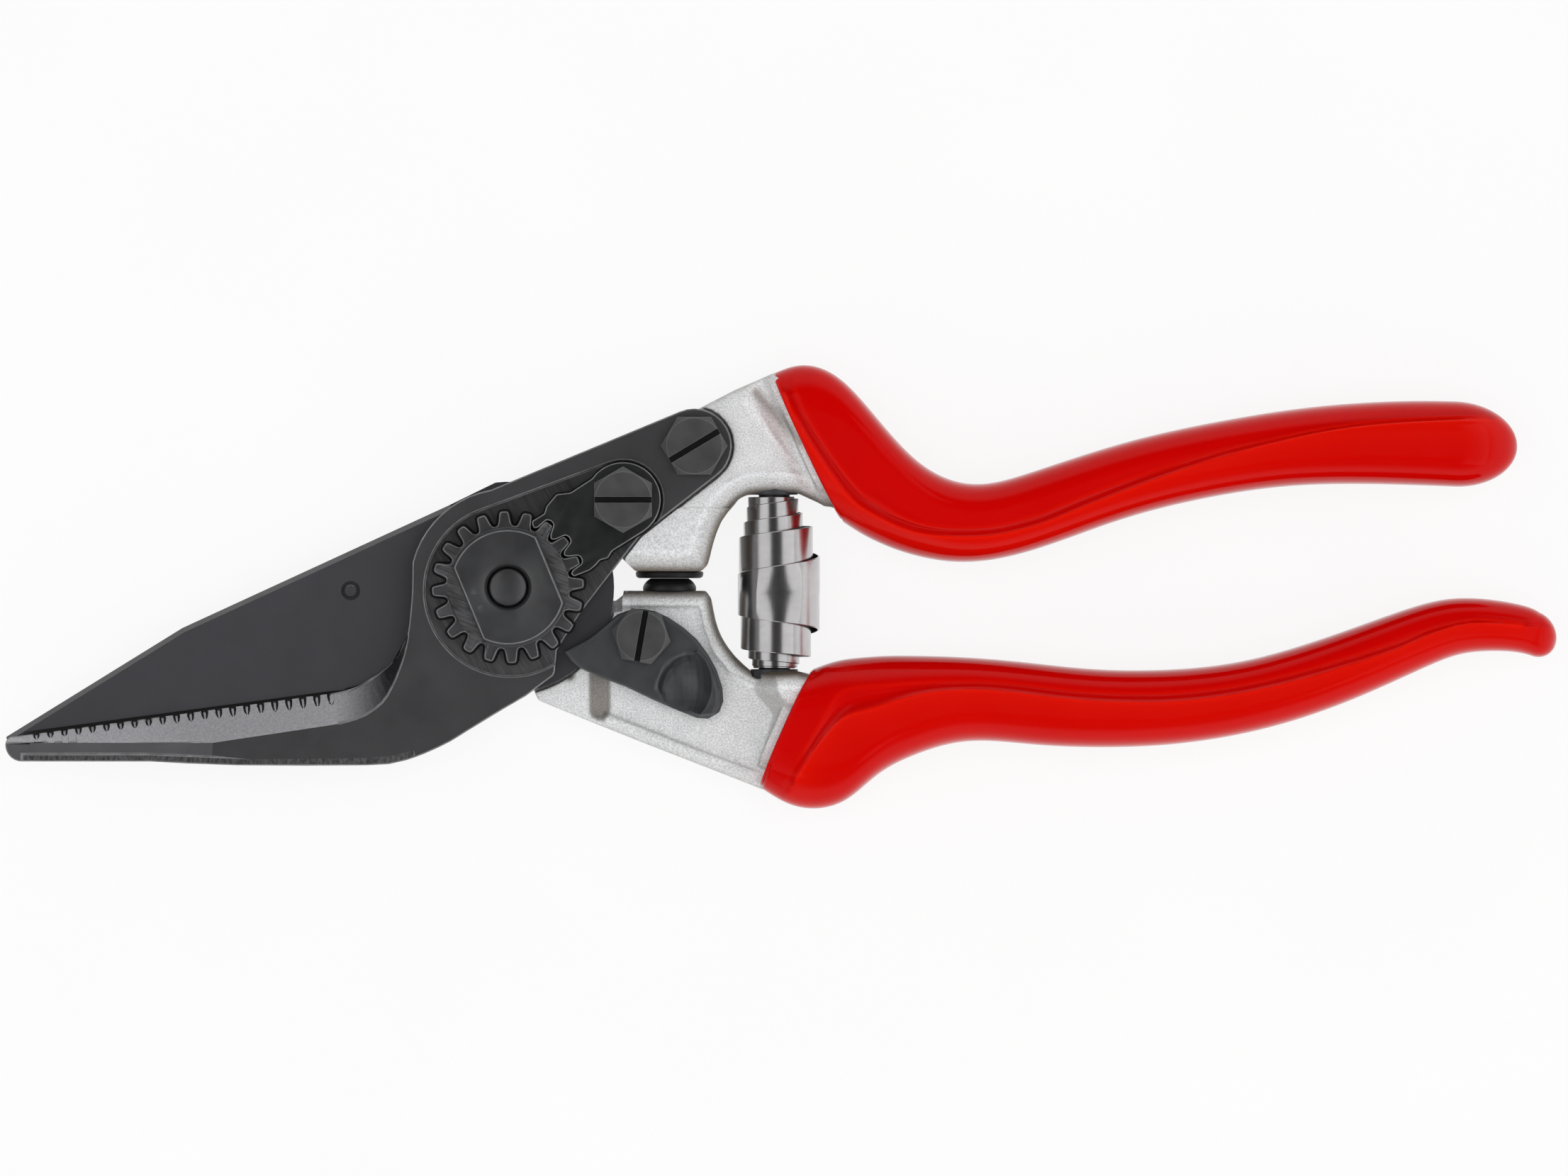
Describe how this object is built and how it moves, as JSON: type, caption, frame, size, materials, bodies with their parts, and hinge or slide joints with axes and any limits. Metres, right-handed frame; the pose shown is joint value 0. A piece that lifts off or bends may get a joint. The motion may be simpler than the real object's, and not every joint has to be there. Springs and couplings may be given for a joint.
{
  "type": "trimming shears",
  "caption": "One-hand trimming shears with narrow straight jaws, a serrated counter-blade, toothed pivot nut, volute spring, thumb catch and sleeved grips.",
  "frame": {"origin": "on the pivot axis, at the flat underside of the centre bolt's head, which the shears lie on", "axes": "+X from the pivot towards the grips, -X towards the jaws' tip; +Y up in the plane of the shears, towards the handle that carries the serrated counter-blade; +Z out of the face with the adjusting nut and the thumb catch"},
  "size_m": [0.2294, 0.0659, 0.0176],
  "materials": {
    "blackened_steel": "satin",
    "blued_steel": "satin",
    "screw_steel": "satin",
    "forged_aluminium": "satin",
    "red_sleeve": "gloss",
    "spring_steel": "polished",
    "black_rubber": "matte",
    "bearing_bronze": "satin"
  },
  "bodies": {
    "lower_side": {"lower_handle": "forged_aluminium", "lower_grip": "red_sleeve", "cutting_blade": "blackened_steel", "pivot_bush": "bearing_bronze", "upper_blade_rivet": "blued_steel", "lower_blade_rivet": "blued_steel", "bumper": "black_rubber", "lower_spring_seat": "blued_steel", "volute_spring": "spring_steel", "catch_washer": "blued_steel", "catch_screw": "screw_steel", "catch_nut": "blued_steel"},
    "upper_side": {"upper_handle": "forged_aluminium", "upper_grip": "red_sleeve", "counter_blade": "blackened_steel", "centre_bolt": "blued_steel", "adjusting_nut": "blued_steel", "locking_segment": "blued_steel", "segment_screw": "screw_steel", "segment_nut": "blued_steel", "arm_screw": "screw_steel", "arm_nut": "blued_steel", "bumper_flange": "black_rubber", "upper_spring_seat": "blued_steel"},
    "catch": {"thumb_catch": "blued_steel"}
  },
  "joints": [
    {"name": "handle_pivot", "type": "hinge", "parent": "lower_side", "child": "upper_side", "pos_m": [0, 0, 0], "axis": [0, 0, 1], "range_deg": [0, 18], "deforming": ["volute_spring"]},
    {"name": "catch_pivot", "type": "hinge", "parent": "lower_side", "child": "catch", "pos_m": [0.01969, -0.00721, 0.0118], "axis": [0, 0, 1], "range_deg": [0, 21.6]}
  ],
  "couplings": [
    {"joint": "catch_pivot", "follows": "handle_pivot", "ratio": 1.2}
  ]
}
